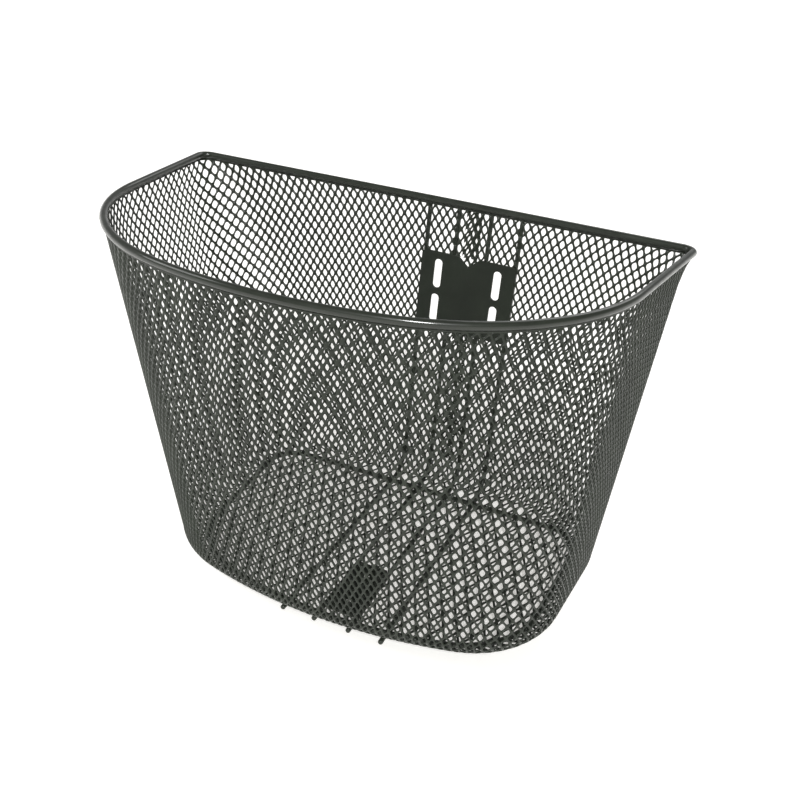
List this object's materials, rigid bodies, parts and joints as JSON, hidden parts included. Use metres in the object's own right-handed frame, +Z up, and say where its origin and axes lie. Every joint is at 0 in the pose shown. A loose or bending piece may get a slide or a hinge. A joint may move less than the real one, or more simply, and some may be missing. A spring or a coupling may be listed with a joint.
{
  "type": "handlebar basket",
  "caption": "D-shaped open-mesh bicycle basket with a round top rim, welded support wires, a slotted plate for a handlebar bracket and a screw plate under its floor.",
  "frame": {"origin": "middle of the bounding box's bottom face, on the ground the support wires stand on", "axes": "+X along the flat back wall, +Y out of the flat back wall towards the handlebar, -Y towards the rounded front, +Z up out of the open mouth"},
  "size_m": [0.3526, 0.2242, 0.213],
  "materials": {
    "rim": "semi-gloss grey-green paint",
    "mesh": "satin grey-green paint",
    "wire": "semi-gloss grey-green paint",
    "plate": "satin grey-green paint"
  },
  "bodies": {
    "root": {"top_rim": "rim", "wall_mesh": "mesh", "wall_seam": "mesh", "floor_mesh": "mesh", "floor_ring": "wire", "wire_left_outer": "wire", "wire_left_inner": "wire", "wire_right_inner": "wire", "wire_right_outer": "wire", "mounting_plate": "plate", "floor_plate": "plate"}
  },
  "joints": []
}
